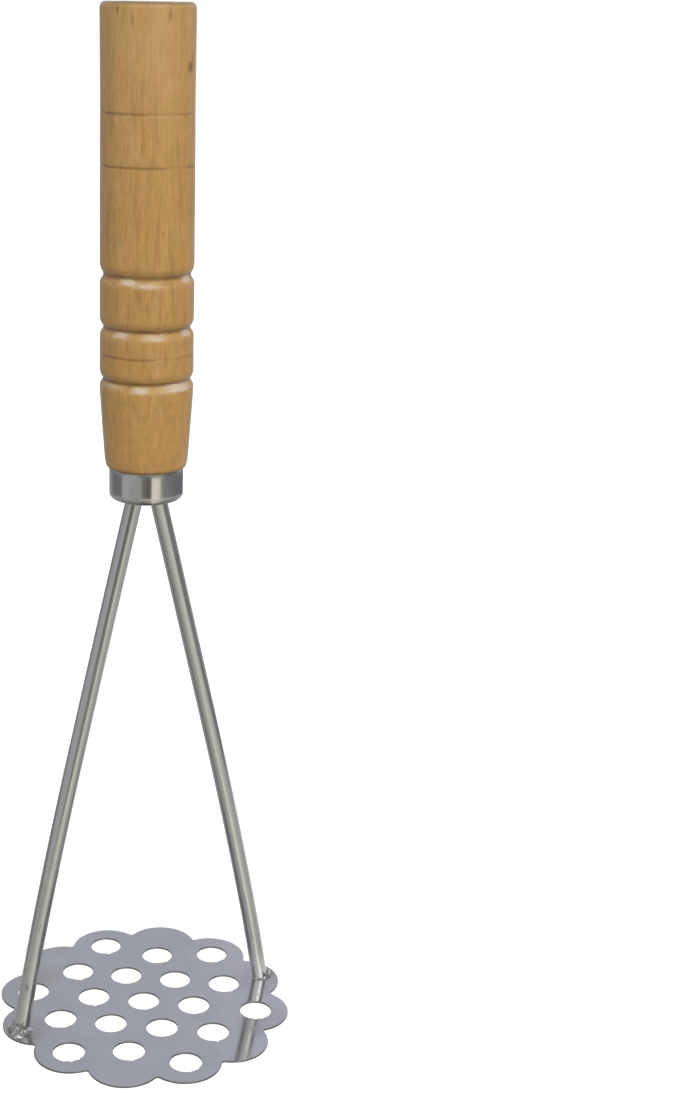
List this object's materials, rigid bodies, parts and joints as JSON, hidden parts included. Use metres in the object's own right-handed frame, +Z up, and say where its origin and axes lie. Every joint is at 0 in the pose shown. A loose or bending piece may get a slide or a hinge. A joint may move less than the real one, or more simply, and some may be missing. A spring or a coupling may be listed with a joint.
{
  "type": "potato masher",
  "caption": "Hand potato masher: grooved turned wooden handle in a metal ferrule, splayed steel legs, and a flat scalloped plate pierced with round holes that mash is pressed through.",
  "frame": {"origin": "middle of the mashing plate's underside, on the handle's axis", "axes": "+Z up along the handle; the feet of the legs lie on the X axis, the left leg at -X; the ferrule's brad faces -Y, turned towards -X"},
  "size_m": [0.0892, 0.0892, 0.295],
  "materials": {
    "varnished_wood": "turned close-grained hardwood, clear satin varnish",
    "ferrule_metal": "bright drawn steel",
    "leg_steel": "drawn bar, polished lengthwise",
    "plate_steel": "flat sheet, mirror polished",
    "weld_steel": "weld bead, polished over",
    "brad_steel": "bright wire",
    "tang_resin": "cured resin"
  },
  "bodies": {
    "root": {"wooden_handle": "varnished_wood", "handle_ferrule": "ferrule_metal", "ferrule_brad": "brad_steel", "left_leg_rod": "leg_steel", "right_leg_rod": "leg_steel", "left_foot_weld": "weld_steel", "right_foot_weld": "weld_steel", "mashing_plate": "plate_steel", "tang_weld": "weld_steel", "tang_adhesive": "tang_resin"}
  },
  "joints": []
}
